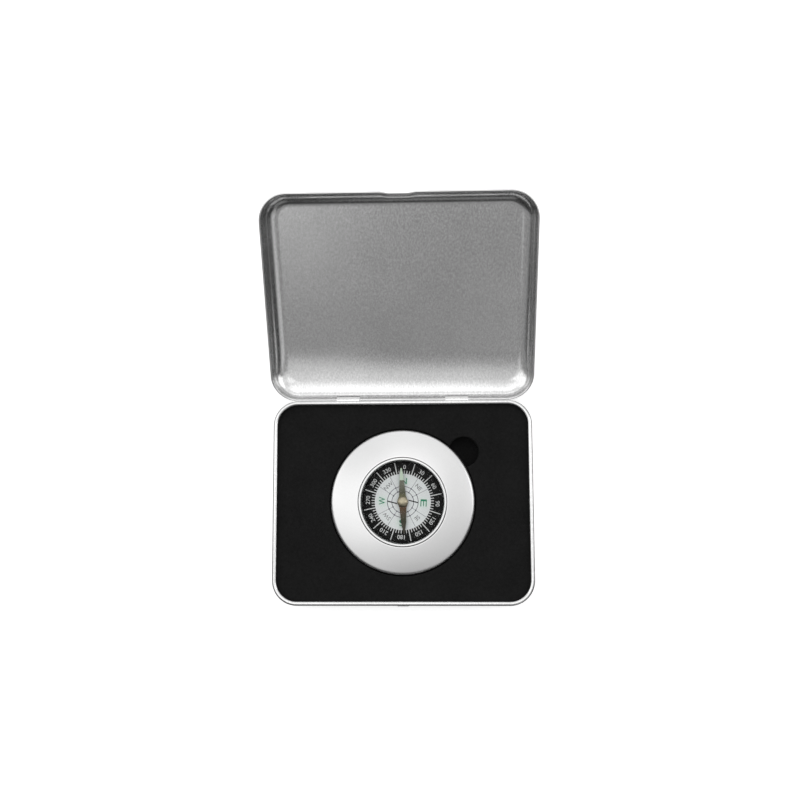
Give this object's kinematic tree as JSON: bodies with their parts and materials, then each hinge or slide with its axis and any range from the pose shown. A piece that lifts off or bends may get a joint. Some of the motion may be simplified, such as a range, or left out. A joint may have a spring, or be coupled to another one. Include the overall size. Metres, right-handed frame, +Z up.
{
  "type": "needle compass in a hinged tin",
  "caption": "Round satin aluminium needle compass lying in a black foam insert inside an open hinged tinplate box with rounded corners.",
  "frame": {"origin": "centre of the tin's flat bottom face", "axes": "+Z up out of the tin, +Y from the front edge to the hinge, +X to the right seen from the front"},
  "size_m": [0.117, 0.1738, 0.0555],
  "materials": {
    "tinplate": "satin grained tinplate",
    "black_foam": "matte die-cut foam",
    "satin_aluminium": "satin",
    "bright_aluminium": "bright turned",
    "black_felt": "felt",
    "pale_tape": "adhesive",
    "black_plastic": "moulded",
    "black_rubber": "matte",
    "dial_print": "printed card",
    "clear_lens": "clear",
    "dark_steel": "dark oiled",
    "pin_steel": "polished",
    "brass": "polished",
    "pale_paint": "luminous paint",
    "ruby": "polished jewel"
  },
  "bodies": {
    "tin": {"tin_base": "tinplate", "foam_floor": "black_foam", "foam_insert": "black_foam"},
    "lid": {"tin_lid": "tinplate"},
    "compass": {"puck_body": "satin_aluminium", "felt_pad": "black_felt", "capsule_tape": "pale_tape", "capsule_cup": "black_plastic", "dial_card": "dial_print", "pivot_bush": "brass", "pivot_pin": "pin_steel", "spacer_ring": "black_plastic", "lens_gasket": "black_rubber", "lens": "clear_lens", "bezel_ring": "bright_aluminium"},
    "needle": {"needle_blade": "dark_steel", "lume_strip": "pale_paint", "needle_hub": "brass", "hub_collar": "brass", "hub_jewel": "ruby"}
  },
  "joints": [
    {"name": "lid_hinge", "type": "hinge", "parent": "tin", "child": "lid", "pos_m": [0, 0.0456, 0.012], "axis": [1, 0, 0], "range_deg": [0, 152]},
    {"name": "compass_lift", "type": "slide", "parent": "tin", "child": "compass", "axis": [0, 0, 1], "range_m": [0, 0.045]},
    {"name": "needle_spin", "type": "hinge", "parent": "compass", "child": "needle", "pos_m": [0, 0, 0.0125], "axis": [0, 0, 1], "continuous": true}
  ]
}
